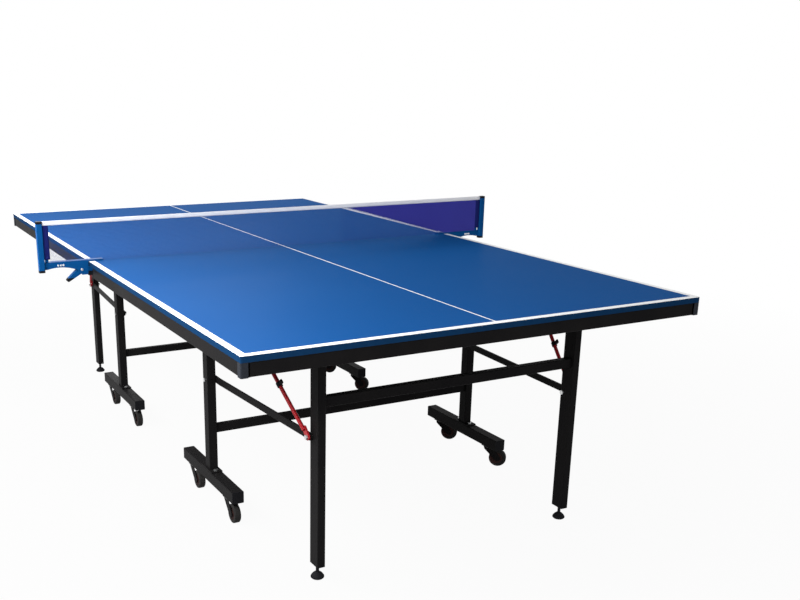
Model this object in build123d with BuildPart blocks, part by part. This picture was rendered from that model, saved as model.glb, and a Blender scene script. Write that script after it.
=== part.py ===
"""A folding, rolling table tennis table: two halves on their own trolleys, and a clamped net.

The origin is on the floor under the middle of the table. +X runs along the table towards the near half,
+Y runs across it and +Z is up. All sizes are in millimetres.
"""

import os
from math import atan2, cos, degrees, hypot, radians, sin

from build123d import *

# Playing top
top_length = 2740.0
top_width = 1525.0
playing_height = 760.0
board_thickness = 18.0
halves_gap = 3.0
board_corner = 4.0
board_edge_break = 0.8

# Steel apron under the board
rail_height = 38.0
rail_width = 25.0
rail_inset = 2.0
clamp_recess = 34.0
cross_height = 30.0
cross_width = 25.0
tube_wall = 1.5
tube_corner = 2.5
guard_reach = 20.0
guard_lip = 0.8
plug_flange = 2.5
plug_depth = 14.0
plug_clearance = 0.1

# Pivots of the fold
pivot_drop = 32.0
pin_radius = 5.0
pin_clearance = 0.05
pin_head_radius = 8.0
pin_head = 3.0
bracket_reach = 14.0
bracket_corner = 13.0
bracket_clearance = 0.5
cross_clearance = 3.0
trolley_cheek = 4.0
leg_cheek = 3.0

# Trolley frame
trolley_x = 517.5
upright_y = 521.0
upright_depth = 40.0
upright_width = 30.0
upright_head = 20.0
trolley_bar_bottom = 247.0
trolley_bar_height = 30.0
trolley_bar_depth = 20.0
beam_length = 450.0
beam_width = 40.0
beam_height = 40.0
base_length = 92.0
base_thickness = 4.0
base_bolt_spread = 66.0
base_bolt_radius = 4.0
base_bolt_length = 14.0
hex_flats = 13.0
hex_height = 5.0
hole_clearance = 0.2

# Casters
caster_height = 78.0
caster_inset = 65.0
caster_trail = 35.0
left_caster_turn = 0.0
right_caster_turn = 50.0
caster_plate = 38.0
caster_plate_thickness = 2.5
kingpin_radius = 4.0
kingpin_end_radius = 6.5
kingpin_end = 3.0
swivel_gap = 0.3
swivel_radius = 18.0
swivel_height = 6.0
fork_plate = 3.0
fork_boss_radius = 11.0
wheel_radius = 32.0
wheel_width = 22.0
wheel_edge = 4.0
wheel_dish_radius = 22.0
wheel_dish = 2.5
hub_radius = 9.0
hub_width = 24.0
hub_gap = 0.5
axle_radius = 3.0

# End legs
leg_setback = 203.0
leg_y = 450.0
leg_depth = 50.0
leg_width = 25.0
leg_head = 14.0
leg_bottom = 45.0
leg_bolt_setback = 16.0
leg_bar_bottom = 524.0
leg_bar_height = 30.0
leg_bar_depth = 25.0

# Levelling feet
foot_radius = 20.0
foot_base_radius = 17.0
foot_rim_height = 6.0
foot_neck_radius = 6.5
foot_height = 20.0
foot_belly = 1.0
stem_radius = 5.0
stem_length = 58.0

# Link bars
link_drop = 275.0
link_height = 22.0
link_thickness = 6.0
link_gap = 1.5
link_straight = 45.0
bolt_play = 0.5
open_pivot_clearance = 0.5

# Lock struts
strut_radius = 6.0
strut_head_x = 868.0
strut_head_y = 532.0
strut_head_height = 700.0
strut_eye_radius = 10.0
strut_eye_thickness = 5.0
strut_eye_length = 26.0
strut_overrun = 8.0
strut_pin_radius = 4.0
strut_pin_end = 1.0
strut_slot_clearance = 0.5
strut_exit_slope = 19.1
guide_plate = 3.0
guide_gap = 5.0
guide_front = 20.0
guide_back = 16.0
guide_below = 15.0
sleeve_place = 178.0
sleeve_length = 14.0
sleeve_radius = 8.5
sleeve_clearance = 0.3
tab_length = 12.0
tab_reach = 23.0
tab_thickness = 5.0

# Net and its brackets
net_height = 150.0
post_y = 929.0
post_size = 20.0
post_bottom = 741.0
cap_thickness = 8.0
arm_width = 25.0
arm_thickness = 6.0
arm_end_y = 712.0
jaw_plate = 3.0
jaw_gap = 3.5
jaw_bottom = 714.0
arch_height = 746.0
lever_pivot_y = 789.5
lever_pivot_height = 733.0
lever_pin_radius = 3.0
lever_side_gap = 0.5
lever_jaw_end = 745.0
lever_jaw_height = 16.0
lever_tip_y = 838.0
lever_tip_height = 697.0
lever_root_radius = 12.0
lever_tip_radius = 5.5
lever_seat_gap = 0.3
arm_hole_radius = 3.0
arm_hole_pitch = 9.0
knob_radius = 6.0
knob_height = 11.0
knob_edge = 2.0
sleeve_width = 21.0
net_thickness = 1.6
net_lift = 3.0
net_columns = 50
net_rows = 6
strand = 3.0
tape_width = 4.4
tape_height = 15.0
tape_overlap = 8.0
cord_radius = 1.2
cloth_gap = 0.3

# Levels and places that follow from the sizes above
board_bottom = playing_height - board_thickness
rail_bottom = board_bottom - rail_height
pivot_height = board_bottom - pivot_drop
link_level = pivot_height - link_drop
half_width = top_width / 2
end_x = top_length / 2
net_edge_x = halves_gap / 2
rail_start = net_edge_x + clamp_recess
rail_outer_y = half_width - rail_inset
rail_inner_y = rail_outer_y - rail_width
rail_end_x = end_x - rail_inset
leg_x = end_x - leg_setback
leg_bolt_x = leg_x - leg_bolt_setback
trolley_cross_x = trolley_x + hypot(upright_depth / 2, upright_head) + cross_clearance
leg_corner = hypot(leg_depth / 2 + leg_bolt_setback, leg_head)
leg_cross_x = leg_bolt_x + leg_corner + cross_clearance
caster_spread = beam_length - 2 * caster_inset
beam_bottom = caster_height
beam_top = beam_bottom + beam_height
upright_bottom = beam_top + base_thickness
upright_inner_y = upright_y - upright_width / 2
upright_outer_y = upright_y + upright_width / 2
leg_inner_y = leg_y - leg_width / 2
leg_outer_y = leg_y + leg_width / 2
link_inner_y = leg_outer_y + link_gap
link_outer_y = link_inner_y + link_thickness
link_shift = upright_inner_y - link_gap - link_outer_y
strut_foot_y = link_outer_y + link_gap + strut_eye_thickness / 2
pin_hole = pin_radius + pin_clearance
strut_run = Vector(strut_head_x - leg_bolt_x, 0, strut_head_height - link_level)
strut_rise = strut_run + Vector(0, strut_head_y - strut_foot_y, 0)
plate_bottom = beam_bottom - caster_plate_thickness
swivel_top = plate_bottom - swivel_gap
swivel_bottom = swivel_top - swivel_height
fork_inner = hub_width / 2 + hub_gap
fork_outer = fork_inner + fork_plate
arm_top = playing_height + arm_thickness
arm_inner_x = net_edge_x + lever_side_gap
arm_outer_x = arm_inner_x + arm_width
post_top = playing_height + net_height - cap_thickness
post_inner_y = post_y - post_size / 2
net_bottom = playing_height + net_lift
net_top = playing_height + net_height
tape_bottom = net_top - tape_height

HALVES = {"near": 1, "far": -1}
HANDS = {"left": -1, "right": 1}
CASTER_TURNS = {-1: left_caster_turn, 1: right_caster_turn}
TUBE_AXES = {"x": Axis.X, "y": Axis.Y, "z": Axis.Z}


def tube(center, size, along):
    """A rectangular steel tube with rounded corners, open at both ends."""
    hollow = [extent - 2 * tube_wall for extent in size]
    lengthwise = "xyz".index(along)
    hollow[lengthwise] = size[lengthwise] + 2 * tube_wall
    with BuildPart() as bar:
        with Locations(center):
            Box(*size)
        fillet(bar.edges().filter_by(TUBE_AXES[along]), tube_corner)
        with Locations(center):
            Box(*hollow, mode=Mode.SUBTRACT)
    return bar.part


def across(hand, inner, outer):
    """The plane and depth of a solid that spans two distances from the table's middle line."""
    return Plane.XZ.offset(-max(hand * inner, hand * outer)), outer - inner


def round_bar(x, z, radius, hand, inner, outer):
    """A round bar along Y."""
    plane, depth = across(hand, inner, outer)
    with BuildPart() as bar:
        with BuildSketch(plane):
            with Locations((x, z)):
                Circle(radius)
        extrude(amount=depth)
    return bar.part


def hex_bar(x, z, flats, hand, inner, outer):
    """A bolt head or nut with its axis along Y."""
    plane, depth = across(hand, inner, outer)
    with BuildPart() as head:
        with BuildSketch(plane):
            with Locations((x, z)):
                RegularPolygon(flats / 2, 6, major_radius=False)
        extrude(amount=depth)
    return head.part


def fused(*pieces):
    """One solid from pieces that are forged or welded together."""
    with BuildPart() as whole:
        add(pieces)
    return whole.part


def drilled(piece, *bores):
    """The piece with round bars cut out of it."""
    with BuildPart() as whole:
        add(piece)
        add(bores, mode=Mode.SUBTRACT)
    return whole.part


def save(label, *pieces):
    """Writes one named sub-part, which may be a group of separate solids."""
    solids = [solid for piece in pieces for solid in piece.solids()]
    part = Compound(solids) if len(solids) > 1 else solids[0]
    part.label = label
    export_step(part, f"parts/{label}.step")


def board(half):
    """The painted playing board of one half."""
    with BuildPart() as panel:
        with BuildSketch(Plane.XY.offset(board_bottom)):
            with Locations((half * (net_edge_x + end_x) / 2, 0)):
                Rectangle(end_x - net_edge_x, top_width)
        extrude(amount=board_thickness)
        outer_end = panel.edges().filter_by(Axis.Z).sort_by(Axis.X)
        fillet(outer_end[-2:] if half > 0 else outer_end[:2], board_corner)
        chamfer(panel.faces().sort_by(Axis.Z)[-1].edges(), board_edge_break)
    return panel.part


def apron(half):
    """The welded steel frame under the board: four rails and two cross members."""
    rail_z = board_bottom - rail_height / 2
    cross_z = board_bottom - cross_height / 2
    side_length = rail_end_x - rail_start
    side_x = half * (rail_start + rail_end_x) / 2
    side_y = rail_outer_y - rail_width / 2
    side_size = (side_length, rail_width, rail_height)
    span = 2 * rail_inner_y
    rails = [tube((side_x, hand * side_y, rail_z), side_size, "x") for hand in HANDS.values()]
    for near_face in (rail_start, rail_end_x - rail_width):
        middle = half * (near_face + rail_width / 2)
        rails.append(tube((middle, 0, rail_z), (rail_width, span, rail_height), "y"))
    for near_face in (trolley_cross_x, leg_cross_x):
        middle = half * (near_face + cross_width / 2)
        rails.append(tube((middle, 0, cross_z), (cross_width, span, cross_height), "y"))
    return rails


def corner_guard(half, hand):
    """A moulded guard round one outer corner of the apron."""
    outside = (half * (end_x - guard_reach / 2), hand * (half_width - guard_reach / 2))
    inside = (half * (rail_end_x - guard_reach / 2), hand * (rail_outer_y - guard_reach / 2))
    corner = (half * end_x, hand * half_width, rail_bottom)
    with BuildPart() as guard:
        with BuildSketch(Plane.XY.offset(rail_bottom - guard_lip)):
            with Locations(outside):
                Rectangle(guard_reach, guard_reach)
        extrude(amount=rail_height + guard_lip)
        fillet(guard.edges().filter_by(Axis.Z).sort_by_distance(corner)[0], board_corner)
        with BuildSketch(Plane.XY.offset(rail_bottom)):
            with Locations(inside):
                Rectangle(guard_reach, guard_reach)
        extrude(amount=rail_height, mode=Mode.SUBTRACT)
    return guard.part


def tube_plug(end, outward, size, along, flange_thickness=plug_flange):
    """A plastic plug in the end of a tube: a flange over the rim and a stub inside it."""
    lengthwise = "xyz".index(along)
    flange = list(size)
    flange[lengthwise] = flange_thickness
    stub = [extent - 2 * (tube_wall + plug_clearance) for extent in size]
    stub[lengthwise] = plug_depth
    flange_at = list(end)
    flange_at[lengthwise] += outward * flange_thickness / 2
    stub_at = list(end)
    stub_at[lengthwise] -= outward * plug_depth / 2
    with BuildPart() as plug:
        with Locations(tuple(flange_at)):
            Box(*flange)
        fillet(plug.edges().filter_by(TUBE_AXES[along]), tube_corner)
        with Locations(tuple(stub_at)):
            Box(*stub)
    return plug.part


def clevis(half, hand, pivot_x, inner, outer, cheek, cross_x):
    """Two cheek plates from a cross member to a pivot, and the riveted pin through them."""
    cheeks = []
    low = pivot_height - bracket_reach
    back = pivot_x - bracket_reach
    bore = round_bar(half * pivot_x, pivot_height, pin_hole, hand, inner - 2 * cheek, outer + 2 * cheek)
    for start in (inner - bracket_clearance - cheek, outer + bracket_clearance):
        plane, depth = across(hand, start, start + cheek)
        with BuildPart() as plate:
            with BuildSketch(plane):
                with Locations((half * (back + cross_x) / 2, (low + board_bottom) / 2)):
                    Rectangle(cross_x - back, board_bottom - low)
            extrude(amount=depth)
            free_edge = plate.edges().filter_by(Axis.Y).group_by(Axis.Z)[0].sort_by(Axis.X)
            fillet(free_edge[0 if half > 0 else -1], bracket_corner)
        cheeks.append(drilled(plate.part, bore))
    x = half * pivot_x
    head_in = inner - bracket_clearance - cheek
    head_out = outer + bracket_clearance + cheek
    pin = fused(
        round_bar(x, pivot_height, pin_radius, hand, head_in - pin_head, head_out + pin_head),
        round_bar(x, pivot_height, pin_head_radius, hand, head_in - pin_head, head_in),
        round_bar(x, pivot_height, pin_head_radius, hand, head_out, head_out + pin_head),
    )
    return [*cheeks, pin]


def strut_guide(half, hand):
    """The bracket under the board that the head of a lock strut hooks into."""
    clear = strut_radius + guide_gap
    slot_width = 2 * (strut_pin_radius + strut_slot_clearance)
    slot_reach = 2 * guide_front
    exit_angle = radians(strut_exit_slope)
    slot_x = strut_head_x - slot_reach / 2 * cos(exit_angle)
    slot_z = strut_head_height - slot_reach / 2 * sin(exit_angle)
    low = strut_head_height - guide_below
    middle_x = strut_head_x + (guide_back - guide_front) / 2
    plates = []
    for start in (strut_head_y - clear - guide_plate, strut_head_y + clear):
        plane, depth = across(hand, start, start + guide_plate)
        with BuildPart() as cheek:
            with BuildSketch(plane):
                with Locations((half * middle_x, (low + board_bottom) / 2)):
                    Rectangle(guide_front + guide_back, board_bottom - low)
                with Locations((half * slot_x, slot_z)):
                    SlotCenterToCenter(
                        slot_reach, slot_width, rotation=half * strut_exit_slope, mode=Mode.SUBTRACT
                    )
            extrude(amount=depth)
        plates.append(cheek.part)
    with BuildPart() as web:
        with Locations((half * middle_x, hand * strut_head_y, board_bottom - guide_plate / 2)):
            Box(guide_front + guide_back, 2 * clear, guide_plate)
    return [fused(*plates, web.part)]


def top_brackets(half):
    """Every bracket and pivot pin under one board."""
    pieces = []
    for hand in HANDS.values():
        pieces += clevis(
            half, hand, trolley_x, upright_inner_y, upright_outer_y, trolley_cheek, trolley_cross_x
        )
        pieces += clevis(half, hand, leg_bolt_x, leg_inner_y, leg_outer_y, leg_cheek, leg_cross_x)
        pieces += strut_guide(half, hand)
    return pieces


def trolley_frame(half):
    """Two uprights on base plates, and the bar between them."""
    x = half * trolley_x
    pieces = []
    for hand in HANDS.values():
        height = pivot_height + upright_head - upright_bottom
        post = tube(
            (x, hand * upright_y, upright_bottom + height / 2), (upright_depth, upright_width, height), "z"
        )
        pieces.append(
            drilled(
                post,
                round_bar(x, pivot_height, pin_hole, hand, leg_y, half_width),
                round_bar(x, link_level, pin_hole, hand, leg_y, half_width),
            )
        )
        with BuildPart() as base:
            with Locations((x, hand * upright_y, beam_top + base_thickness / 2)):
                Box(base_length, beam_width, base_thickness)
                with GridLocations(base_bolt_spread, 0, 2, 1):
                    Hole(base_bolt_radius + hole_clearance)
        pieces.append(base.part)
    bar_z = trolley_bar_bottom + trolley_bar_height / 2
    pieces.append(tube((x, 0, bar_z), (trolley_bar_depth, 2 * upright_inner_y, trolley_bar_height), "y"))
    return pieces


def foot_beams(half):
    """The two beams that the uprights stand on."""
    beams = []
    for hand in HANDS.values():
        at = (half * trolley_x, hand * upright_y, beam_bottom + beam_height / 2)
        whole = tube(at, (beam_length, beam_width, beam_height), "x")
        with BuildPart() as beam:
            add(whole)
            with Locations((half * trolley_x, hand * upright_y, beam_top)):
                with GridLocations(base_bolt_spread, 0, 2, 1):
                    Cylinder(base_bolt_radius + hole_clearance, 2 * base_bolt_length, mode=Mode.SUBTRACT)
        beams.append(beam.part)
    return beams


def beam_end_caps(half):
    """The plastic caps in the four beam ends."""
    section = (0, beam_width, beam_height)
    caps = []
    for hand in HANDS.values():
        for way in (-1, 1):
            end = (half * trolley_x + way * beam_length / 2, hand * upright_y, beam_bottom + beam_height / 2)
            caps.append(tube_plug(end, way, section, "x"))
    return caps


def base_bolt(x, y):
    """A hexagon bolt that holds an upright's base plate to its beam."""
    with BuildPart() as bolt:
        with BuildSketch(Plane.XY.offset(upright_bottom)):
            with Locations((x, y)):
                RegularPolygon(hex_flats / 2, 6, major_radius=False)
        extrude(amount=hex_height)
        with BuildSketch(Plane.XY.offset(upright_bottom)):
            with Locations((x, y)):
                Circle(base_bolt_radius)
        extrude(amount=-base_bolt_length)
    return bolt.part


def link_bolt(half, hand):
    """The bolt through an upright that carries one end of a link, with its washer and nut."""
    x = half * trolley_x
    washer = link_outer_y + link_shift + bolt_play
    nut = link_inner_y + link_shift - bolt_play
    return fused(
        round_bar(x, link_level, pin_radius, hand, nut - hex_height, upright_outer_y),
        hex_bar(x, link_level, hex_flats, hand, upright_outer_y, upright_outer_y + hex_height),
        round_bar(x, link_level, pin_head_radius, hand, washer, upright_inner_y),
        hex_bar(x, link_level, hex_flats, hand, nut - hex_height, nut),
    )


def caster_mount(x, y):
    """The top plate of a caster with its kingpin and the end that holds the fork on."""
    pin_end = swivel_bottom - swivel_gap - kingpin_end
    with BuildPart() as mount:
        with Locations((x, y, plate_bottom + caster_plate_thickness / 2)):
            Box(caster_plate, caster_plate, caster_plate_thickness)
        with BuildSketch(Plane.XY.offset(pin_end)):
            with Locations((x, y)):
                Circle(kingpin_radius)
        extrude(amount=plate_bottom - pin_end)
        with BuildSketch(Plane.XY.offset(pin_end)):
            with Locations((x, y)):
                Circle(kingpin_end_radius)
        extrude(amount=kingpin_end)
    return mount.part


def trolley_hardware(half):
    """Bolts and caster plates of one trolley."""
    x = half * trolley_x
    pieces = []
    for hand in HANDS.values():
        pieces.append(link_bolt(half, hand))
        for way in (-1, 1):
            pieces.append(base_bolt(x + way * base_bolt_spread / 2, hand * upright_y))
            pieces.append(caster_mount(x + way * caster_spread / 2, hand * upright_y))
    return pieces


def caster_fork(x, y, turn):
    """A swivel head with two arms that trail to the axle, turned about the kingpin."""
    axle_x = x + caster_trail
    arms = []
    for hand in (-1, 1):
        low_y = y + (fork_inner if hand > 0 else -fork_outer)
        with BuildPart() as arm:
            with BuildSketch(Plane.XZ.offset(-low_y - fork_plate)):
                with Locations((axle_x, wheel_radius)):
                    Circle(fork_boss_radius)
                with Locations((x, swivel_bottom + swivel_height / 2)):
                    Rectangle(2 * fork_outer, swivel_height)
                make_hull()
            extrude(amount=fork_plate)
        arms.append(arm.part)
    with BuildPart() as fork:
        with Locations((x, y, swivel_bottom + swivel_height / 2)):
            Cylinder(swivel_radius, swivel_height)
        add(arms)
        with Locations((x, y, swivel_bottom + swivel_height / 2)):
            Cylinder(kingpin_radius + pin_clearance, 2 * swivel_height, mode=Mode.SUBTRACT)
        with BuildSketch(Plane.XZ.offset(-y - fork_outer)):
            with Locations((axle_x, wheel_radius)):
                Circle(axle_radius)
        extrude(amount=2 * fork_outer)
    return fork.part.rotate(Axis((x, y, 0), (0, 0, 1)), turn)


def caster_wheel(x, y, turn):
    """A wheel with a rounded tread, dished sides and a hub, turned about its kingpin."""
    axle_x = x + caster_trail
    half_tread = wheel_width / 2
    with BuildPart() as wheel:
        with BuildSketch(Plane.XZ.offset(-y - half_tread)):
            with Locations((axle_x, wheel_radius)):
                Circle(wheel_radius)
        extrude(amount=wheel_width)
        fillet(wheel.edges().filter_by(GeomType.CIRCLE), wheel_edge)
        for side in (-1, 1):
            face_y = y + side * half_tread
            with BuildSketch(Plane.XZ.offset(-max(face_y, face_y - side * wheel_dish))):
                with Locations((axle_x, wheel_radius)):
                    Circle(wheel_dish_radius)
            extrude(amount=wheel_dish, mode=Mode.SUBTRACT)
        with BuildSketch(Plane.XZ.offset(-y - hub_width / 2)):
            with Locations((axle_x, wheel_radius)):
                Circle(hub_radius)
        extrude(amount=hub_width)
        with BuildSketch(Plane.XZ.offset(-y - hub_width)):
            with Locations((axle_x, wheel_radius)):
                Circle(axle_radius + pin_clearance)
        extrude(amount=2 * hub_width, mode=Mode.SUBTRACT)
    return wheel.part.rotate(Axis((x, y, 0), (0, 0, 1)), turn)


def leg_frame(half):
    """Two end legs and the bar between them."""
    x = half * leg_x
    pieces = []
    for hand in HANDS.values():
        height = pivot_height + leg_head - leg_bottom
        post = tube((x, hand * leg_y, leg_bottom + height / 2), (leg_depth, leg_width, height), "z")
        pieces.append(
            drilled(
                post,
                round_bar(half * leg_bolt_x, pivot_height, pin_hole, hand, 0, half_width),
                round_bar(half * leg_bolt_x, link_level, pin_hole, hand, 0, half_width),
            )
        )
    bar_z = leg_bar_bottom + leg_bar_height / 2
    pieces.append(tube((x, 0, bar_z), (leg_bar_depth, 2 * leg_inner_y, leg_bar_height), "y"))
    return pieces


def leg_plugs(half):
    """The threaded plastic plugs in the leg ends."""
    plug_length = plug_depth + plug_flange
    plugs = []
    for hand in HANDS.values():
        end = (half * leg_x, hand * leg_y, leg_bottom)
        plug = tube_plug(end, -1, (leg_depth, leg_width, 0), "z")
        with BuildPart() as bored:
            add(plug)
            with Locations(end):
                Cylinder(stem_radius + pin_clearance, 2 * plug_length, mode=Mode.SUBTRACT)
        plugs.append(bored.part)
    return plugs


def leg_hardware(half):
    """The bolts through the legs on which links and struts turn."""
    x = half * leg_bolt_x
    eye = strut_foot_y - strut_eye_thickness / 2 - bolt_play
    nut = strut_foot_y + strut_eye_thickness / 2 + bolt_play
    bolts = []
    for hand in HANDS.values():
        bolts.append(
            fused(
                round_bar(x, link_level, pin_radius, hand, leg_inner_y - hex_height, nut),
                hex_bar(x, link_level, hex_flats, hand, leg_inner_y - hex_height, leg_inner_y),
                round_bar(x, link_level, pin_head_radius, hand, leg_outer_y, link_inner_y - bolt_play),
                round_bar(x, link_level, pin_head_radius, hand, link_outer_y + bolt_play, eye),
                hex_bar(x, link_level, hex_flats, hand, nut, nut + hex_height),
            )
        )
    return bolts


def levelling_foot(half, hand):
    """A bell-shaped pad on a threaded stem."""
    x = half * leg_x
    y = hand * leg_y
    flank = (foot_radius + foot_neck_radius) / 2 + foot_belly
    flank_height = (foot_rim_height + foot_height) / 2 + foot_belly
    with BuildPart() as foot:
        with BuildSketch(Plane(origin=(x, y, 0), x_dir=(1, 0, 0), z_dir=(0, -1, 0))):
            with BuildLine():
                Polyline(
                    (0, foot_height),
                    (0, 0),
                    (foot_base_radius, 0),
                    (foot_radius, foot_rim_height / 2),
                    (foot_radius, foot_rim_height),
                )
                ThreePointArc(
                    (foot_radius, foot_rim_height),
                    (flank, flank_height),
                    (foot_neck_radius, foot_height),
                )
                Line((foot_neck_radius, foot_height), (0, foot_height))
            make_face()
        revolve(axis=Axis((x, y, 0), (0, 0, 1)))
        with BuildSketch(Plane.XY.offset(foot_height)):
            with Locations((x, y)):
                Circle(stem_radius)
        extrude(amount=stem_length - foot_height)
    return foot.part


def link(half, hand):
    """A flat link bar between an upright and a leg, set sideways so that it lies beside both."""
    plane, depth = across(hand, link_inner_y, link_outer_y + link_shift)
    span = leg_bolt_x - trolley_x
    outline = [
        (leg_x, link_inner_y),
        (leg_bolt_x - link_straight, link_inner_y),
        (trolley_x + link_straight, link_inner_y + link_shift),
        (trolley_x - link_height, link_inner_y + link_shift),
        (trolley_x - link_height, link_outer_y + link_shift),
        (trolley_x + link_straight, link_outer_y + link_shift),
        (leg_bolt_x - link_straight, link_outer_y),
        (leg_x, link_outer_y),
    ]
    with BuildPart() as bar:
        with BuildSketch(plane):
            with Locations((half * (trolley_x + span / 2), link_level)):
                SlotCenterToCenter(span, link_height)
            with Locations((half * trolley_x, link_level)):
                Circle(pin_hole, mode=Mode.SUBTRACT)
            with Locations((half * leg_bolt_x, link_level)):
                Circle(pin_radius + open_pivot_clearance, mode=Mode.SUBTRACT)
        extrude(amount=depth)
        with BuildSketch(Plane.XY.offset(link_level - link_height)):
            with BuildLine():
                Polyline([(half * x, hand * y) for x, y in outline], close=True)
            make_face()
        extrude(amount=2 * link_height, mode=Mode.INTERSECT)
    return bar.part


def strut_way(half, hand):
    """The unit direction of a lock strut, from its eye up to its head."""
    return Vector(half * strut_rise.X, hand * strut_rise.Y, strut_rise.Z).normalized()


def strut_point(half, hand, distance):
    """The point on a strut's axis at a distance from its eye."""
    eye = Vector(half * leg_bolt_x, hand * strut_foot_y, link_level)
    return eye + strut_way(half, hand) * distance


def strut(half, hand):
    """A lock strut: a flat eye on the leg bolt, a tube, and a cross pin at the head."""
    x = half * leg_bolt_x
    slope = degrees(atan2(strut_run.Z, half * strut_run.X))
    inner = strut_foot_y - strut_eye_thickness / 2
    plane, depth = across(hand, inner, inner + strut_eye_thickness)
    eye_middle = Vector(half * strut_run.X, 0, strut_run.Z).normalized() * (strut_eye_length / 2)
    length = strut_rise.length + strut_overrun - strut_eye_length / 2
    pin_reach = strut_radius + guide_gap + guide_plate + strut_pin_end
    head_pin = round_bar(
        half * strut_head_x,
        strut_head_height,
        strut_pin_radius,
        hand,
        strut_head_y - pin_reach,
        strut_head_y + pin_reach,
    )
    with BuildPart() as stay:
        with BuildSketch(plane):
            with Locations((x + eye_middle.X, link_level + eye_middle.Z)):
                SlotCenterToCenter(strut_eye_length, 2 * strut_eye_radius, rotation=slope)
            with Locations((x, link_level)):
                Circle(pin_hole, mode=Mode.SUBTRACT)
        extrude(amount=depth)
        tube_start = strut_point(half, hand, strut_eye_length / 2 + strut_eye_radius)
        with BuildSketch(Plane(origin=tube_start, z_dir=strut_way(half, hand))):
            Circle(strut_radius)
        extrude(amount=length - strut_eye_radius)
        add(head_pin)
    return stay.part


def release_sleeve(half, hand):
    """The sleeve on a strut with the thumb tab that frees it."""
    way = strut_way(half, hand)
    upward = Vector(half * strut_rise.Z, 0, -strut_rise.X).normalized()
    start = strut_point(half, hand, sleeve_place - sleeve_length / 2)
    bore = strut_radius + sleeve_clearance
    with BuildPart() as sleeve:
        with BuildSketch(Plane(origin=start, x_dir=upward, z_dir=way)):
            Circle(sleeve_radius)
        extrude(amount=sleeve_length)
        with BuildSketch(Plane(origin=start, x_dir=upward, z_dir=way)):
            with Locations((tab_reach / 2, 0)):
                Rectangle(tab_reach, tab_thickness)
        extrude(amount=tab_length)
        with BuildSketch(Plane(origin=start, x_dir=upward, z_dir=way)):
            Circle(bore)
        extrude(amount=sleeve_length, mode=Mode.SUBTRACT)
    return sleeve.part


def jaw_side(hand, inner_x):
    """One side plate of a net bracket, with the arched lower edge and the three holes."""
    throat = half_width + jaw_gap
    knee = lever_pivot_y + lever_jaw_height
    with BuildPart() as plate:
        with BuildSketch(Plane.YZ.offset(-inner_x - jaw_plate)):
            with BuildLine():
                Polyline(
                    (hand * (post_inner_y - post_size / 2), post_bottom),
                    (hand * post_inner_y, post_bottom),
                    (hand * post_inner_y, playing_height),
                    (hand * throat, playing_height),
                    (hand * throat, lever_pivot_height),
                    (hand * (throat + jaw_gap), jaw_bottom),
                    (hand * lever_pivot_y, jaw_bottom),
                    (hand * knee, lever_pivot_height),
                )
                ThreePointArc(
                    (hand * knee, lever_pivot_height),
                    (hand * (knee + post_inner_y) / 2, arch_height),
                    (hand * (post_inner_y - post_size / 2), post_bottom),
                )
            make_face()
            with Locations((hand * lever_pivot_y, lever_pivot_height)):
                Circle(lever_pin_radius + pin_clearance, mode=Mode.SUBTRACT)
            hole_y = (knee + post_inner_y) / 2
            with Locations((hand * hole_y, (arch_height + playing_height) / 2)):
                with GridLocations(arm_hole_pitch, 0, 3, 1):
                    Circle(arm_hole_radius, mode=Mode.SUBTRACT)
        extrude(amount=jaw_plate)
    return plate.part


def net_bracket(hand):
    """A post with the arm over the board's edge, its jaw plates, lever pin and cord knob."""
    post = tube(
        (0, hand * post_y, (post_bottom + post_top) / 2), (post_size, post_size, post_top - post_bottom), "z"
    )
    arm_x = -(arm_inner_x + arm_outer_x) / 2
    with BuildPart() as arm:
        with Locations((arm_x, hand * (arm_end_y + post_inner_y) / 2, playing_height + arm_thickness / 2)):
            Box(arm_width, post_inner_y - arm_end_y, arm_thickness)
        fillet(arm.edges().filter_by(Axis.Z), tube_corner)
    sides = [jaw_side(hand, arm_inner_x), jaw_side(hand, arm_outer_x - jaw_plate)]
    with BuildPart() as lever_pin:
        with BuildSketch(Plane.YZ.offset(-arm_outer_x)):
            with Locations((hand * lever_pivot_y, lever_pivot_height)):
                Circle(lever_pin_radius)
        extrude(amount=arm_width)
    knob_y = post_inner_y - sleeve_width / 2
    with BuildPart() as knob:
        with Locations((-arm_inner_x - knob_radius, hand * knob_y, arm_top + knob_height / 2)):
            Cylinder(knob_radius, knob_height)
        fillet(knob.edges().filter_by(GeomType.CIRCLE), knob_edge)
    return [post, arm.part, *sides, lever_pin.part, knob.part]


def net_caps():
    """The plastic caps on both ends of both posts."""
    section = (post_size, post_size, 0)
    caps = []
    for hand in HANDS.values():
        for level, way in ((post_bottom, -1), (post_top, 1)):
            caps.append(tube_plug((0, hand * post_y, level), way, section, "z", cap_thickness))
    return caps


def clamp_lever(hand):
    """The sprung lever whose jaw grips the board from below."""
    pivot = Vector(hand * lever_pivot_y, lever_pivot_height)
    jaw_z = board_bottom - lever_seat_gap - lever_jaw_height / 2
    jaw = Vector(hand * (lever_jaw_end + lever_jaw_height / 2), jaw_z)
    tip = Vector(hand * lever_tip_y, lever_tip_height)
    run = jaw - pivot
    width = arm_width - 2 * (jaw_plate + lever_side_gap)
    with BuildPart() as lever:
        with BuildSketch(Plane.YZ.offset(-(arm_inner_x + arm_outer_x) / 2 - width / 2)):
            with Locations(pivot):
                Circle(lever_root_radius)
            with Locations(tip):
                Circle(lever_tip_radius)
            make_hull()
            with Locations((pivot + jaw) * 0.5):
                SlotCenterToCenter(run.length, lever_jaw_height, rotation=degrees(atan2(run.Y, run.X)))
            with Locations(pivot):
                Circle(lever_pin_radius + pin_clearance, mode=Mode.SUBTRACT)
        extrude(amount=width)
    return lever.part


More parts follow.
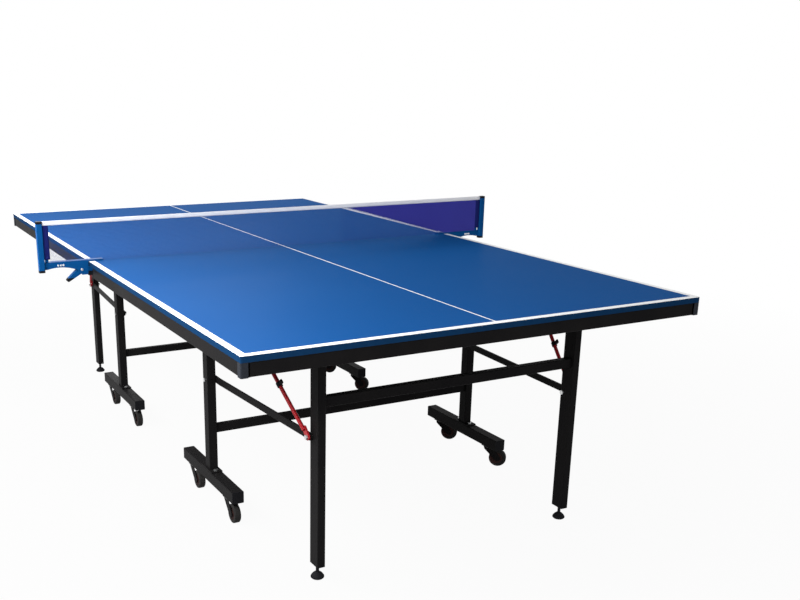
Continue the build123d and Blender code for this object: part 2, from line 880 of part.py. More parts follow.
def net():
    """The net: one thin panel with open meshes, and a plain sleeve at each end."""
    sleeve_outer = post_inner_y - cloth_gap
    mesh_half = sleeve_outer - sleeve_width
    sleeve_y = (mesh_half + sleeve_outer) / 2
    sleeve_bottom = arm_top + knob_height + cloth_gap
    sleeve_top = tape_bottom - cloth_gap
    top = tape_bottom + tape_overlap
    mesh_height = tape_bottom - net_bottom
    column = 2 * mesh_half / net_columns
    row = mesh_height / net_rows
    with BuildPart() as panel:
        with BuildSketch(Plane.YZ.offset(-net_thickness / 2)):
            with Locations((0, (net_bottom + top) / 2)):
                Rectangle(2 * mesh_half, top - net_bottom)
            with Locations((0, (net_bottom + tape_bottom) / 2)):
                with GridLocations(column, row, net_columns, net_rows):
                    Rectangle(column - strand, row - strand, mode=Mode.SUBTRACT)
            for hand in HANDS.values():
                with Locations((hand * sleeve_y, (sleeve_bottom + sleeve_top) / 2)):
                    Rectangle(sleeve_width, sleeve_top - sleeve_bottom)
        extrude(amount=net_thickness)
    return panel.part


def tape():
    """The white tape folded over the net's upper edge, and the cord in its hem."""
    length = 2 * (post_inner_y - cloth_gap)
    slot_top = tape_bottom + tape_overlap + cloth_gap
    cord_z = (slot_top + net_top) / 2
    start = Plane.XZ.offset(-length / 2)
    with BuildPart() as hem:
        with BuildSketch(start):
            with Locations((0, (tape_bottom + net_top) / 2)):
                Rectangle(tape_width, tape_height)
            with Locations((0, (tape_bottom + slot_top) / 2)):
                Rectangle(net_thickness + 2 * cloth_gap, slot_top - tape_bottom, mode=Mode.SUBTRACT)
            with Locations((0, cord_z)):
                Circle(cord_radius + cloth_gap, mode=Mode.SUBTRACT)
        extrude(amount=length)
    with BuildPart() as cord:
        with BuildSketch(start):
            with Locations((0, cord_z)):
                Circle(cord_radius)
        extrude(amount=length)
    return [hem.part, cord.part]


os.makedirs("parts", exist_ok=True)

for half_name, half in HALVES.items():
    save(f"{half_name}_board", board(half))
    save(f"{half_name}_apron", *apron(half))
    rail_section = (0, rail_width, rail_height)
    rail_plugs = []
    for hand in HANDS.values():
        rail_end = (half * rail_start, hand * (rail_outer_y - rail_width / 2), board_bottom - rail_height / 2)
        rail_plugs.append(tube_plug(rail_end, -half, rail_section, "x"))
    guards = [corner_guard(half, hand) for hand in HANDS.values()]
    save(f"{half_name}_corner_guards", *guards, *rail_plugs)
    save(f"{half_name}_top_brackets", *top_brackets(half))
    save(f"{half_name}_trolley_frame", *trolley_frame(half))
    save(f"{half_name}_foot_beams", *foot_beams(half))
    save(f"{half_name}_beam_caps", *beam_end_caps(half))
    save(f"{half_name}_trolley_hardware", *trolley_hardware(half))
    save(f"{half_name}_leg_frame", *leg_frame(half))
    save(f"{half_name}_leg_plugs", *leg_plugs(half))
    save(f"{half_name}_leg_hardware", *leg_hardware(half))
    for hand_name, hand in HANDS.items():
        side = f"{half_name}_{hand_name}"
        save(f"{side}_link", link(half, hand))
        save(f"{side}_strut", strut(half, hand))
        save(f"{side}_release", release_sleeve(half, hand))
        save(f"{side}_foot", levelling_foot(half, hand))
        for place, way in (("inner", -half), ("outer", half)):
            swivel_x = half * trolley_x + way * caster_spread / 2
            turn = CASTER_TURNS[hand]
            save(f"{side}_{place}_fork", caster_fork(swivel_x, hand * upright_y, turn))
            save(f"{side}_{place}_wheel", caster_wheel(swivel_x, hand * upright_y, turn))

save("net_brackets", *net_bracket(-1), *net_bracket(1))
save("net_caps", *net_caps())
for hand_name, hand in HANDS.items():
    save(f"net_{hand_name}_lever", clamp_lever(hand))
save("net", net())
save("net_tape", *tape())
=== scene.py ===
"""Looks of a folding table tennis table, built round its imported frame. All sizes are in metres."""

import math

import bmesh
import bpy
from mathutils import Matrix, Vector


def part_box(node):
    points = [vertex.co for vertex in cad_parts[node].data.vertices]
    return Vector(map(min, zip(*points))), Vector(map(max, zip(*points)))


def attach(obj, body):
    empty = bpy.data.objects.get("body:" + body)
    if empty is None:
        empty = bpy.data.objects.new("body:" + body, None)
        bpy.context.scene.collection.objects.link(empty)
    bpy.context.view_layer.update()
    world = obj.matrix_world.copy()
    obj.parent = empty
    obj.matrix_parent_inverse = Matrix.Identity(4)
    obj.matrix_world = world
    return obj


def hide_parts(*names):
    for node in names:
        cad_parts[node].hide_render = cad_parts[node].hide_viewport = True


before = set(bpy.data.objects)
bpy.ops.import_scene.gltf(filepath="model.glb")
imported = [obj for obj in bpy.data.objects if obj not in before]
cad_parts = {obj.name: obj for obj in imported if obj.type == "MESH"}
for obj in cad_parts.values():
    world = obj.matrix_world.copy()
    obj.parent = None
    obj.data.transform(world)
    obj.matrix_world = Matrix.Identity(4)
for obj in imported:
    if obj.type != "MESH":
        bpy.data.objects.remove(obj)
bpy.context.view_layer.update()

# Places read from the frame
board_low, board_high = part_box("near_board")
beam_low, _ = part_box("near_foot_beams")
net_low, net_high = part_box("net")
tape_low, tape_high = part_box("net_tape")
top_z = board_high.z
half_width = board_high.y
end_x = board_high.x

# Painted lines of the playing surface
edge_line = 0.020
centre_line = 0.005
paint_depth = 0.0010

# Netting, whose cords stand apart at the left and crowd at the right of a leaning border
mesh_pitch_open = 0.0030
mesh_pitch_close = 0.0017
cord_thin = 0.00045
cord_thick = 0.0016
cord_depth = 1.3
cord_sides = 6
crowding_start = 0.218
crowding_run = 0.05
crowding_lean = 0.50
crowding_steps = 4
weft_thickness = 0.0005
weft_pitch = 0.0045

# Head tape
tape_thickness = 0.0006
tape_pinch_share = 0.3
tape_crown_steps = 8
tape_steps = 260
tape_sway = 0.0004
tape_sway_lengths = (0.31, 0.17, 0.083)
tape_ripple = 0.10
tape_ripple_lengths = (0.061, 0.023)
tape_weave = 0.0010
stitch_pitch = 0.004
stitch_rise = 0.0022
stitch_width = 0.0008

# End sleeves of the net
sleeve_width = 0.021
sleeve_depth = 0.0056
sleeve_lift = 0.0143
sleeve_head_gap = 0.0004
sleeve_cloth = 0.0006
sleeve_sides = 28
sleeve_squareness = 0.6
sleeve_steps = 24
sleeve_swell = 0.10
sleeve_swell_lengths = (0.045, 0.021)
sleeve_weave = 0.0012

# Arms, rivets and lever grips of the net brackets
arm_face_x = -0.0020
arm_end_y = 0.712
arm_thickness = 0.006
arm_hole_ys = (0.85325, 0.86225, 0.87125)
arm_hole_z = 0.753
lever_pin_y = 0.7895
lever_pin_z = 0.733
rivet_lift = 0.00005
rivet_sides = 20
rivet_radius = 0.0036
rivet_height = 0.0013
shank_radius = 0.0028
shank_depth = 0.0025
pin_head_radius = 0.0046
pin_head_height = 0.0016
grip_top_z = 0.7045

# A rivet's dome, as shares of its radius and height
rivet_dome = ((1, 0), (1, 0.35), (0.8, 0.75), (0.45, 0.95), (0.1, 1))

# The darker and the lighter tone of each colour
board_blues = ((0.006, 0.067, 0.240), (0.009, 0.083, 0.276))
line_whites = ((0.88, 0.89, 0.90), (0.95, 0.95, 0.95))
# The board's edge: the top's blue painted much darker, as painted shade on its sides
shaded_edge_blues = ((0.0044, 0.026, 0.074), (0.0070, 0.035, 0.096))
underside_greys = ((0.010, 0.011, 0.014), (0.020, 0.021, 0.025))
steel_blacks = ((0.0074, 0.0070, 0.0076), (0.0106, 0.0099, 0.0099))
guard_greys = ((0.012, 0.014, 0.019), (0.021, 0.024, 0.031))
plastic_blacks = ((0.006, 0.006, 0.007), (0.012, 0.012, 0.014))
zinc_greys = ((0.52, 0.53, 0.53), (0.74, 0.75, 0.76))
oxide_blacks = ((0.010, 0.010, 0.011), (0.022, 0.022, 0.023))
strut_reds = ((0.33, 0.014, 0.020), (0.38, 0.019, 0.026))
hub_browns = ((0.024, 0.013, 0.012), (0.050, 0.025, 0.023))
tread_greys = ((0.013, 0.0125, 0.0125), (0.030, 0.029, 0.028))
bracket_blues = ((0.0024, 0.060, 0.208), (0.0040, 0.075, 0.248))
grip_blacks = ((0.006, 0.007, 0.009), (0.012, 0.013, 0.016))
yarn_blues = ((0.010, 0.036, 0.180), (0.015, 0.046, 0.230))
yarn_violets = ((0.042, 0.043, 0.290), (0.058, 0.058, 0.375))
sleeve_blues = ((0.006, 0.009, 0.085), (0.014, 0.020, 0.150))
tape_whites = ((0.74, 0.74, 0.78), (0.88, 0.88, 0.90))
floor_greys = ((0.30, 0.30, 0.30), (0.34, 0.34, 0.34))

# Other colours, shares and bounds in the finishes
board_cloud = (0.011, 0.089, 0.290, 1)
board_cloud_share = 0.25
stitch_share = 0.5
stitch_gap = -0.4
hub_reach = 0.335
noise_range = (0.3, 0.7)

# Camera, as fitted to the photograph
camera_place = Vector((3.471, -1.633, 1.4049))
camera_azimuth = math.radians(61.668)
camera_elevation = math.radians(17.291)
camera_roll = math.radians(0.604)
camera_lens = 44.59
camera_sensor = 36.0
camera_shift = (0.0783, 0.1018)
camera_clip = (0.05, 200.0)


def feed(tree, socket, value):
    """Gives a socket a number, a colour or another node's output."""
    if isinstance(value, bpy.types.NodeSocket):
        tree.links.new(value, socket)
    else:
        socket.default_value = value


def calc(tree, operation, first, second=0.0):
    """The output of a Math node."""
    node = tree.nodes.new("ShaderNodeMath")
    node.operation = operation
    feed(tree, node.inputs[0], first)
    feed(tree, node.inputs[1], second)
    return node.outputs[0]


def hypotenuse(tree, first, second):
    """The length of a vector from its two numbers."""
    squares = [calc(tree, "MULTIPLY", side, side) for side in (first, second)]
    return calc(tree, "SQRT", calc(tree, "ADD", *squares))


def mixed(tree, factor, first, second):
    """The output of a colour Mix node."""
    node = tree.nodes.new("ShaderNodeMix")
    node.data_type = "RGBA"
    feed(tree, node.inputs[0], factor)
    feed(tree, node.inputs[6], first)
    feed(tree, node.inputs[7], second)
    return node.outputs[2]


def toned(tree, factor, tones):
    """A colour between the darker and the lighter of two tones."""
    dark, light = tones
    return mixed(tree, factor, (*dark, 1), (*light, 1))


def mapped(tree, value, low, high, to_low=0.0, to_high=1.0):
    """A value carried from one range to another and clamped there."""
    node = tree.nodes.new("ShaderNodeMapRange")
    feed(tree, node.inputs["Value"], value)
    feed(tree, node.inputs["From Min"], low)
    feed(tree, node.inputs["From Max"], high)
    feed(tree, node.inputs["To Min"], to_low)
    feed(tree, node.inputs["To Max"], to_high)
    return node.outputs[0]


def place(tree):
    """Where a point lies in the piece's own frame."""
    return tree.nodes.new("ShaderNodeTexCoord").outputs["Object"]


def axes(tree, vector):
    """The three numbers of a vector."""
    node = tree.nodes.new("ShaderNodeSeparateXYZ")
    feed(tree, node.inputs[0], vector)
    return node.outputs


def grain(tree, scale, detail=2.0, stretch=(1, 1, 1)):
    """Noise with so many grains to the metre, from 0 to 1."""
    scaled = tree.nodes.new("ShaderNodeMapping")
    feed(tree, scaled.inputs["Vector"], place(tree))
    scaled.inputs["Scale"].default_value = stretch
    node = tree.nodes.new("ShaderNodeTexNoise")
    feed(tree, node.inputs["Vector"], scaled.outputs[0])
    node.inputs["Scale"].default_value = scale
    node.inputs["Detail"].default_value = detail
    return node.outputs["Fac"]


def rough(tree, noise, low, high):
    """A roughness between two levels, as a noise goes."""
    return mapped(tree, noise, *noise_range, low, high)


def bumped(tree, height, depth):
    """A normal that follows a height of so many metres."""
    node = tree.nodes.new("ShaderNodeBump")
    node.inputs["Distance"].default_value = depth
    feed(tree, node.inputs["Height"], height)
    return node.outputs[0]


def surface(name, **sockets):
    """A new material, its node tree and its main shader, with plain sockets set."""
    material = bpy.data.materials.new(name)
    material.use_nodes = True
    shader = material.node_tree.nodes["Principled BSDF"]
    for socket, value in sockets.items():
        shader.inputs[socket.replace("_", " ")].default_value = value
    return material, material.node_tree, shader


def dress(tree, shader, colour, roughness, normal):
    """Feeds a shader its colour, its roughness and its normal."""
    feed(tree, shader.inputs["Base Color"], colour)
    feed(tree, shader.inputs["Roughness"], roughness)
    feed(tree, shader.inputs["Normal"], normal)


def board_paint():
    """Matte blue paint with white lines on top, the edge in a darker blue as painted shade, and a
    dark underside.
    """
    material, tree, shader = surface("board_paint", Specular_IOR_Level=0.001)
    x, y, z = axes(tree, place(tree))
    across = calc(tree, "ABSOLUTE", y)
    along = calc(tree, "ABSOLUTE", x)
    sides = calc(tree, "GREATER_THAN", across, half_width - edge_line)
    ends = calc(tree, "GREATER_THAN", along, end_x - edge_line)
    middle = calc(tree, "LESS_THAN", across, centre_line / 2)
    lines = calc(tree, "MAXIMUM", calc(tree, "MAXIMUM", sides, ends), middle)
    on_top = calc(tree, "GREATER_THAN", z, top_z - paint_depth)
    below = calc(tree, "LESS_THAN", z, board_low.z + paint_depth / 2)
    speckle = grain(tree, scale=900, detail=3.0)
    clouded = mapped(tree, grain(tree, scale=2.2), *noise_range, to_high=board_cloud_share)
    blue = toned(tree, mapped(tree, speckle, *noise_range), board_blues)
    blue = mixed(tree, clouded, blue, board_cloud)
    white = toned(tree, speckle, line_whites)
    # The edge takes the blue darkened as painted shade
    painted_shade_edge = toned(tree, grain(tree, scale=60, detail=4.0), shaded_edge_blues)
    under = toned(tree, grain(tree, scale=300, detail=4.0), underside_greys)
    face = mixed(tree, lines, blue, white)
    sided = mixed(tree, on_top, painted_shade_edge, face)
    colour = mixed(tree, below, sided, under)
    roughness = mapped(tree, speckle, low=0.2, high=0.8, to_low=0.34, to_high=0.42)
    dress(tree, shader, colour, roughness, bumped(tree, speckle, depth=0.00012))
    return material


def powder_coat():
    """Satin black powder coat with its fine orange peel."""
    material, tree, shader = surface("powder_coat", Specular_IOR_Level=0.015)
    peel = grain(tree, scale=700)
    dust = grain(tree, scale=9, detail=5.0)
    colour = toned(tree, mapped(tree, dust, low=0.35, high=0.75), steel_blacks)
    roughness = rough(tree, dust, low=0.36, high=0.46)
    dress(tree, shader, colour, roughness, bumped(tree, peel, depth=0.00010))
    return material


def moulded_plastic(name, tones, gloss):
    """Moulded plastic of two close tones, with a fine sand grain."""
    material, tree, shader = surface(name, Specular_IOR_Level=gloss)
    sand = grain(tree, scale=1600)
    colour = toned(tree, grain(tree, scale=25, detail=3.0), tones)
    roughness = rough(tree, sand, low=0.48, high=0.62)
    dress(tree, shader, colour, roughness, bumped(tree, sand, depth=0.00008))
    return material


def zinc_plate():
    """Bright zinc plate with faint spangle and scratches, and black oxide below the foot beams."""
    material, tree, shader = surface("zinc_plate", Metallic=1.0)
    spangle = grain(tree, scale=420, detail=3.0)
    scratch = grain(tree, scale=900, stretch=(0.2, 1, 1))
    zinc = toned(tree, spangle, zinc_greys)
    oxide = toned(tree, spangle, oxide_blacks)
    below = calc(tree, "LESS_THAN", axes(tree, place(tree))[2], beam_low.z)
    colour = mixed(tree, below, zinc, oxide)
    roughness = rough(tree, scratch, low=0.24, high=0.40)
    dress(tree, shader, colour, roughness, bumped(tree, scratch, depth=0.00004))
    return material


def red_enamel():
    """Glossy red paint on a drawn tube."""
    material, tree, shader = surface("red_enamel", Specular_IOR_Level=0.12)
    peel = grain(tree, scale=90, detail=1.0)
    colour = toned(tree, grain(tree, scale=14), strut_reds)
    roughness = rough(tree, peel, low=0.26, high=0.32)
    dress(tree, shader, colour, roughness, bumped(tree, peel, depth=0.00001))
    return material


def wheel_rubber():
    """Dark grey tread, with a brown hub inside its rim."""
    material, tree, shader = surface("wheel_rubber", Specular_IOR_Level=0.03)
    generated = tree.nodes.new("ShaderNodeTexCoord").outputs["Generated"]
    x, _, z = axes(tree, generated)
    radius = hypotenuse(tree, calc(tree, "SUBTRACT", x, 0.5), calc(tree, "SUBTRACT", z, 0.5))
    dust = grain(tree, scale=160, detail=4.0)
    hub = toned(tree, dust, hub_browns)
    tread = toned(tree, dust, tread_greys)
    colour = mixed(tree, calc(tree, "GREATER_THAN", radius, hub_reach), hub, tread)
    roughness = rough(tree, dust, low=0.50, high=0.68)
    dress(tree, shader, colour, roughness, bumped(tree, dust, depth=0.00015))
    return material


def blue_enamel(name, dip_z=0.0):
    """Glossy blue paint of the net brackets, and the black rubber dip of a lever below a height."""
    material, tree, shader = surface(name, Specular_IOR_Level=0.015)
    peel = grain(tree, scale=600)
    paint = toned(tree, grain(tree, scale=12, detail=3.0), bracket_blues)
    rubber = toned(tree, peel, grip_blacks)
    dipped = calc(tree, "LESS_THAN", axes(tree, place(tree))[2], dip_z)
    colour = mixed(tree, dipped, paint, rubber)
    roughness = rough(tree, peel, low=0.28, high=0.38)
    dress(tree, shader, colour, roughness, bumped(tree, peel, depth=0.00008))
    return material


def net_yarn():
    """Twisted nylon yarn, blue where the cords stand apart and blue violet where they crowd."""
    material, tree, shader = surface("net_yarn", Specular_IOR_Level=0.04)
    twist = grain(tree, scale=1400, detail=3.0, stretch=(1, 1, 0.4))
    _, y, z = axes(tree, place(tree))
    lean = mapped(tree, z, net_low.z, net_high.z, to_high=crowding_lean)
    border = crowding_start + crowding_lean
    crowded = mapped(tree, calc(tree, "ADD", y, lean), border, border + crowding_run)
    blue = toned(tree, twist, yarn_blues)
    violet = toned(tree, twist, yarn_violets)
    colour = mixed(tree, crowded, blue, violet)
    roughness = rough(tree, twist, low=0.60, high=0.80)
    dress(tree, shader, colour, roughness, bumped(tree, twist, depth=0.0002))
    return material


def woven(name, tones, pitch, seam_z=0.0):
    """A plain woven cloth, so many metres from thread to thread, sewn along a height."""
    material, tree, shader = surface(name, Specular_IOR_Level=0.05)
    _, y, z = axes(tree, place(tree))

    def ridges(across, spacing):
        return calc(tree, "SINE", calc(tree, "MULTIPLY", across, 2 * math.pi / spacing))

    crossed = calc(tree, "MULTIPLY", ridges(y, pitch), ridges(z, pitch))
    weave = mapped(tree, crossed, -1.0, 1.0)
    wear = grain(tree, scale=35, detail=4.0)
    tone = calc(tree, "MULTIPLY", calc(tree, "ADD", weave, wear), 0.5)
    off_seam = calc(tree, "ABSOLUTE", calc(tree, "SUBTRACT", z, seam_z))
    near_seam = calc(tree, "LESS_THAN", off_seam, stitch_width / 2)
    dash = calc(tree, "GREATER_THAN", ridges(y, stitch_pitch), stitch_gap)
    stitch = calc(tree, "MULTIPLY", near_seam, dash)
    sewn = calc(tree, "MULTIPLY", stitch, stitch_share)
    colour = mixed(tree, sewn, toned(tree, tone, tones), (*tones[0], 1))
    roughness = rough(tree, wear, low=0.65, high=0.85)
    height = calc(tree, "SUBTRACT", weave, stitch)
    dress(tree, shader, colour, roughness, bumped(tree, height, depth=0.0002))
    return material


def circle(sides):
    """The points of a circle of radius 1."""
    angles = [2 * math.pi * step / sides for step in range(sides)]
    return [(math.cos(angle), math.sin(angle)) for angle in angles]


def swept(shell, outline, stations):
    """Adds a closed outline carried through stations, each a function from outline point to place."""
    rings = [[shell.verts.new(station(point)) for point in outline] for station in stations]
    count = len(outline)
    for first, second in zip(rings, rings[1:]):
        for step in range(count):
            after = (step + 1) % count
            shell.faces.new((first[step], first[after], second[after], second[step]))
    return rings


def capped(shell, rings):
    """Closes both ends of a swept form."""
    shell.faces.new(rings[0])
    shell.faces.new(rings[-1])


def new_piece(name, shell, material, body, smooth=True):
    """Turns a bmesh into a piece that rides on a body, with its normals outward."""
    bmesh.ops.recalc_face_normals(shell, faces=shell.faces)
    mesh = bpy.data.meshes.new(name)
    shell.to_mesh(mesh)
    shell.free()
    for polygon in mesh.polygons:
        polygon.use_smooth = smooth
    piece = bpy.data.objects.new(name, mesh)
    bpy.context.scene.collection.objects.link(piece)
    mesh.materials.append(material)
    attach(piece, body)
    return piece


def wave(distance, *lengths):
    """A smooth uneven wave from -1 to 1 along a length, made of a few wavelengths."""
    waves = [math.sin(2 * math.pi * distance / length + 7 * length) for length in lengths]
    return sum(waves) / len(lengths)


def crowding(y, rise):
    """How far the cords have crowded at a place, from 0 to 1. They crowd later at the net's foot."""
    start = crowding_start + crowding_lean * (1 - rise)
    ramp = min(max((y - start) / crowding_run, 0.0), 1.0)
    return ramp * ramp * (3 - 2 * ramp)


def crowding_rises(y):
    """The heights at which a cord's thickness changes, from 0 at the net's foot to 1 at its head."""
    first = 1 - (y - crowding_start) / crowding_lean
    gap = crowding_run / crowding_lean / crowding_steps
    rises = [first + gap * step for step in range(crowding_steps + 1)]
    return [0.0, *(rise for rise in rises if 0 < rise < 1), 1.0]


def upright_cord(shell, y, low, high):
    """Adds one upright cord of the netting, as thick at each height as the net is crowded there."""
    outline = [Vector(point) / 2 for point in circle(cord_sides)]

    def station(rise):
        thickness = cord_thin + (cord_thick - cord_thin) * crowding(y, rise)
        z = low + (high - low) * rise
        return lambda point: (cord_depth * thickness * point.x, y + thickness * point.y, z)

    capped(shell, swept(shell, outline, [station(rise) for rise in crowding_rises(y)]))


def cross_cord(shell, start, end, z):
    """Adds one cross cord of the netting at a height."""
    outline = [Vector(point) * weft_thickness / 2 for point in circle(cord_sides)]
    stations = [lambda point, y=y: (point.x, y, z + point.y) for y in (start, end)]
    capped(shell, swept(shell, outline, stations))


def net_strands(material):
    """The netting: upright cords that crowd past a leaning border, and thin cross cords."""
    shell = bmesh.new()
    left = net_low.y + sleeve_width
    right = net_high.y - sleeve_width
    low = net_low.z + weft_thickness
    high = net_high.z
    over_arms = top_z + arm_thickness + weft_thickness
    y = left
    while y < right:
        upright_cord(shell, y, low if abs(y) < arm_end_y else over_arms, high)
        y += mesh_pitch_open + (mesh_pitch_close - mesh_pitch_open) * crowding(y, 1)
    rows = round((high - low) / weft_pitch)
    for row in range(rows + 1):
        z = low + (high - low) * row / rows
        start, end = (left, right) if z > over_arms else (-arm_end_y, arm_end_y)
        cross_cord(shell, start, end, z)
    piece = new_piece("net_strands", shell, material, "far_top", smooth=False)
    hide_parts("net")


def tape_outline():
    """The section of the head tape: one strip folded over the cord and pinched where it is sewn."""
    wide = tape_high.x - tape_thickness / 2
    crown = tape_high.z - tape_high.x
    pinch = net_high.x + tape_thickness
    pinch_top = tape_low.z + tape_pinch_share * (crown - tape_low.z)
    side = [(pinch, tape_low.z), (pinch, pinch_top), (wide, crown)]
    line = list(side)
    for step in range(1, tape_crown_steps):
        angle = math.pi * step / tape_crown_steps
        line.append((wide * math.cos(angle), crown + wide * math.sin(angle)))
    line += [(-x, z) for x, z in reversed(side)]
    outer = []
    inner = []
    for place_on, (x, z) in enumerate(line):
        before = Vector(line[max(place_on - 1, 0)])
        after = Vector(line[min(place_on + 1, len(line) - 1)])
        along = (after - before).normalized()
        offset = Vector((along.y, -along.x)) * tape_thickness / 2
        outer.append(Vector((x, z)) + offset)
        inner.append(Vector((x, z)) - offset)
    return outer + inner[::-1]


def head_tape(material):
    """The white tape folded over the head cord, a little uneven along its length."""
    shell = bmesh.new()
    length = tape_high.y - tape_low.y

    def station(step):
        y = tape_low.y + length * step / tape_steps
        sway = tape_sway * wave(y, *tape_sway_lengths)
        ripple = 1 + tape_ripple * wave(y, *tape_ripple_lengths)
        return lambda point: (point.x * ripple + sway, y, point.y)

    rings = swept(shell, tape_outline(), [station(step) for step in range(tape_steps + 1)])
    half = len(rings[0]) // 2
    for ring in (rings[0], rings[-1]):
        for step in range(half - 1):
            shell.faces.new((ring[step], ring[step + 1], ring[-2 - step], ring[-1 - step]))
    piece = new_piece("net_head_tape", shell, material, "far_top")
    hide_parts("net_tape")


def end_sleeve(hand, inner, outer, material):
    """The cloth pocket at one end of the net, round the stiffening rod beside the post."""
    shell = bmesh.new()
    middle = (inner + outer) / 2
    half = abs(outer - inner) / 2
    outline = []
    for across, through in circle(sleeve_sides):
        flat = math.copysign(abs(across) ** sleeve_squareness, across)
        outline.append(Vector((sleeve_depth / 2 * through, half * flat)))
    low = net_low.z + sleeve_lift
    high = tape_low.z - sleeve_head_gap

    def station(step):
        z = low + (high - low) * step / sleeve_steps
        swell = 1 + sleeve_swell * wave(z, *sleeve_swell_lengths)
        return lambda point: (point.x * swell, middle + point.y, z)

    stations = [station(step) for step in range(sleeve_steps + 1)]
    lining = [point - point.normalized() * sleeve_cloth for point in outline]
    outside = swept(shell, outline, stations)
    inside = swept(shell, lining, stations)
    for end in (0, -1):
        for step in range(sleeve_sides):
            after = (step + 1) % sleeve_sides
            rim = (outside[end][step], outside[end][after], inside[end][after], inside[end][step])
            shell.faces.new(rim)
    piece = new_piece(f"net_{hand}_sleeve", shell, material, "far_top")


def rivet(shell, y, z, radius, height, shank=()):
    """Adds a domed rivet head on the face of a jaw plate, with any shank in the hole behind."""
    profile = [*shank, *((radius * reach, height * out) for reach, out in rivet_dome)]

    def station(reach, out):
        x = arm_face_x + rivet_lift + out
        return lambda point: (x, y + reach * point[0], z + reach * point[1])

    capped(shell, swept(shell, circle(rivet_sides), [station(*step) for step in profile]))


def bracket_rivets(material):
    """The zinc rivets on the side of both net brackets that faces the near half."""
    shell = bmesh.new()
    shank = ((shank_radius, -shank_depth), (shank_radius, 0))
    for hand in (-1, 1):
        for y in arm_hole_ys:
            rivet(shell, hand * y, arm_hole_z, rivet_radius, rivet_height, shank)
        rivet(shell, hand * lever_pin_y, lever_pin_z, pin_head_radius, pin_head_height)
    new_piece("net_rivets", shell, material, "far_top")


def area_lamp(name, location, target, size, watts):
    """A soft rectangular lamp that faces a point."""
    data = bpy.data.lights.new(name, "AREA")
    data.shape = "RECTANGLE"
    data.size, data.size_y = size
    data.energy = watts
    lamp = bpy.data.objects.new(name, data)
    bpy.context.scene.collection.objects.link(lamp)
    lamp.location = location
    aim = Vector(target) - lamp.location
    lamp.rotation_euler = aim.to_track_quat("-Z", "Y").to_euler()


def background_ray(tree):
    """1 where the ray is one that sees the background."""
    path = tree.nodes.new("ShaderNodeLightPath").outputs
    seen = calc(tree, "MAXIMUM", path["Is Camera Ray"], path["Is Glossy Ray"])
    return calc(tree, "MAXIMUM", seen, path["Is Transmission Ray"])


def studio(ambient):
    """A white world to look at, which lights the object at a plain level."""
    world = bpy.data.worlds.new("studio")
    bpy.context.scene.world = world
    world.use_nodes = True
    tree = world.node_tree
    background = tree.nodes["Background"]
    background.inputs["Color"].default_value = (1, 1, 1, 1)
    strength = mapped(tree, background_ray(tree), 0.0, 1.0, to_low=ambient, to_high=1.0)
    feed(tree, background.inputs["Strength"], strength)


def pale_floor(radius, white_share, fade_start, fade_end):
    """A white floor that keeps a soft shadow near the object."""
    bpy.ops.mesh.primitive_circle_add(vertices=96, radius=radius, fill_type="NGON")
    floor = bpy.context.object
    floor.name = "floor"
    material, tree, shader = surface("floor_white", Roughness=0.9, Specular_IOR_Level=0.0)
    feed(tree, shader.inputs["Base Color"], toned(tree, grain(tree, scale=40), floor_greys))
    glow = tree.nodes.new("ShaderNodeEmission")
    both = tree.nodes.new("ShaderNodeMixShader")
    x, y, _ = axes(tree, place(tree))
    faded = mapped(tree, hypotenuse(tree, x, y), fade_start, fade_end, to_low=white_share)
    feed(tree, both.inputs[0], calc(tree, "MULTIPLY", faded, background_ray(tree)))
    feed(tree, both.inputs[1], shader.outputs[0])
    feed(tree, both.inputs[2], glow.outputs[0])
    output = tree.nodes["Material Output"]
    feed(tree, output.inputs["Surface"], both.outputs[0])
    floor.data.materials.append(material)


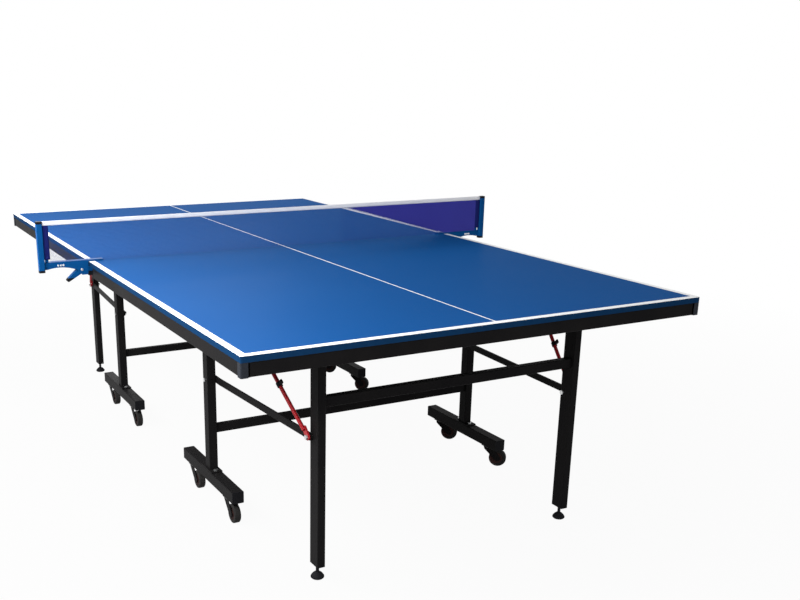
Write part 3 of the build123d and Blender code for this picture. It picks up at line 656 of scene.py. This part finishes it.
def photo_camera():
    """The camera where the photograph was taken."""
    data = bpy.data.cameras.new("camera")
    data.sensor_width = camera_sensor
    data.lens = camera_lens
    data.shift_x, data.shift_y = camera_shift
    data.clip_start, data.clip_end = camera_clip
    camera = bpy.data.objects.new("camera", data)
    bpy.context.scene.collection.objects.link(camera)
    level = math.cos(camera_elevation)
    back = Vector(
        (
            math.sin(camera_azimuth) * level,
            -math.cos(camera_azimuth) * level,
            math.sin(camera_elevation),
        )
    )
    right = Vector((0, 0, 1)).cross(back).normalized()
    up = back.cross(right)
    rolled_right = right * math.cos(camera_roll) + up * math.sin(camera_roll)
    rolled_up = up * math.cos(camera_roll) - right * math.sin(camera_roll)
    turn = Matrix((rolled_right, rolled_up, back)).transposed()
    camera.matrix_world = Matrix.Translation(camera_place) @ turn.to_4x4()
    bpy.context.scene.camera = camera


materials = {
    "board": board_paint(),
    "steel": powder_coat(),
    "plastic": moulded_plastic("guard_plastic", guard_greys, gloss=0.08),
    "black": moulded_plastic("black_plastic", plastic_blacks, gloss=0.03),
    "zinc": zinc_plate(),
    "red": red_enamel(),
    "rubber": wheel_rubber(),
    "blue": blue_enamel("blue_enamel"),
    "lever": blue_enamel("lever_enamel", grip_top_z),
    "yarn": net_yarn(),
    "sleeve": woven("sleeve_cloth", sleeve_blues, sleeve_weave),
    "tape": woven("tape_cloth", tape_whites, tape_weave, tape_low.z + stitch_rise),
}

# The words in a node's name that say what it is made of, the first that fits
node_finishes = {
    "net_brackets": "blue",
    "net_caps": "black",
    "lever": "lever",
    "board": "board",
    "guards": "plastic",
    "caps": "black",
    "plugs": "black",
    "hardware": "zinc",
    "strut": "red",
    "release": "black",
    "foot_beams": "steel",
    "foot": "black",
    "wheel": "rubber",
    "net": "yarn",
}


def finish_of(name):
    """The finish of a node by its name, black steel where nothing else is said."""
    for word, finish in node_finishes.items():
        if word in name:
            return finish
    return "steel"


for name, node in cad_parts.items():
    node.data.materials.clear()
    node.data.materials.append(materials[finish_of(name)])

head_tape(materials["tape"])
net_strands(materials["yarn"])
end_sleeve("left", net_low.y + sleeve_width, net_low.y, materials["sleeve"])
end_sleeve("right", net_high.y - sleeve_width, net_high.y, materials["sleeve"])
bracket_rivets(materials["zinc"])

studio(ambient=0.30)
pale_floor(radius=9.0, white_share=0.955, fade_start=1.5, fade_end=4.0)
area_lamp("key", (0.8, -1.75, 1.55), target=(0.8, -0.5, 0.6), size=(4.4, 0.6), watts=108)
area_lamp("rim", (-5.0, 0.7, 3.2), target=(0.6, -0.6, 0.76), size=(3.0, 1.6), watts=210)
area_lamp("front", (5.4, 0.8, 0.9), target=(0.6, 0, 0.5), size=(2.0, 1.2), watts=46)
photo_camera()

bpy.context.scene.view_settings.view_transform = "Standard"
